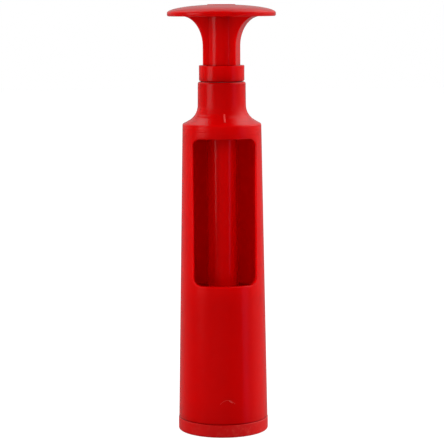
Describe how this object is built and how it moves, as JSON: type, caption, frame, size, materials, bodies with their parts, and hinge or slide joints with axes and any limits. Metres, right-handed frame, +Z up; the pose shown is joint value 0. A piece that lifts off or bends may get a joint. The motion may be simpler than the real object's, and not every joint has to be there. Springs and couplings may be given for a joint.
{
  "type": "plunger hand corker",
  "caption": "Plunger hand corker for wine bottles: tapered shell with a side window for the cork, a tapering throat, a sliding rod with a stop ring, and a mushroom knob.",
  "frame": {"origin": "on the table, under the middle of the base ring", "axes": "+Z up along the plunger's axis; the cork window faces -Y; +X is to the right of someone who faces the window"},
  "size_m": [0.0606, 0.0606, 0.2404],
  "materials": {
    "housing_red": "smooth moulded, semi-gloss",
    "ring_red": "slightly textured moulding, satin",
    "plunger_red": "smooth moulded, semi-gloss",
    "throat_red": "polished moulding",
    "bush_white": "natural acetal, matt",
    "rubber": "matt black rubber",
    "steel": "plated steel"
  },
  "bodies": {
    "housing": {"base_ring": "ring_red", "bottle_gasket": "rubber", "throat_cone": "throat_red", "housing": "housing_red", "neck_bush": "bush_white"},
    "collar": {"stop_collar": "plunger_red", "bumper_washer": "rubber"},
    "plunger": {"plunger_rod": "plunger_red", "pusher_foot": "plunger_red", "foot_washer": "steel", "foot_screw": "steel", "knob": "plunger_red", "knob_washer": "steel", "knob_screw": "steel", "knob_cap": "plunger_red"}
  },
  "joints": [
    {"name": "plunger_slide", "type": "slide", "parent": "housing", "child": "collar", "axis": [0, 0, 1], "range_m": [0, 0.1498]},
    {"name": "plunger_spin", "type": "hinge", "parent": "collar", "child": "plunger", "pos_m": [0, 0, 0.2], "axis": [0, 0, 1], "continuous": true}
  ]
}
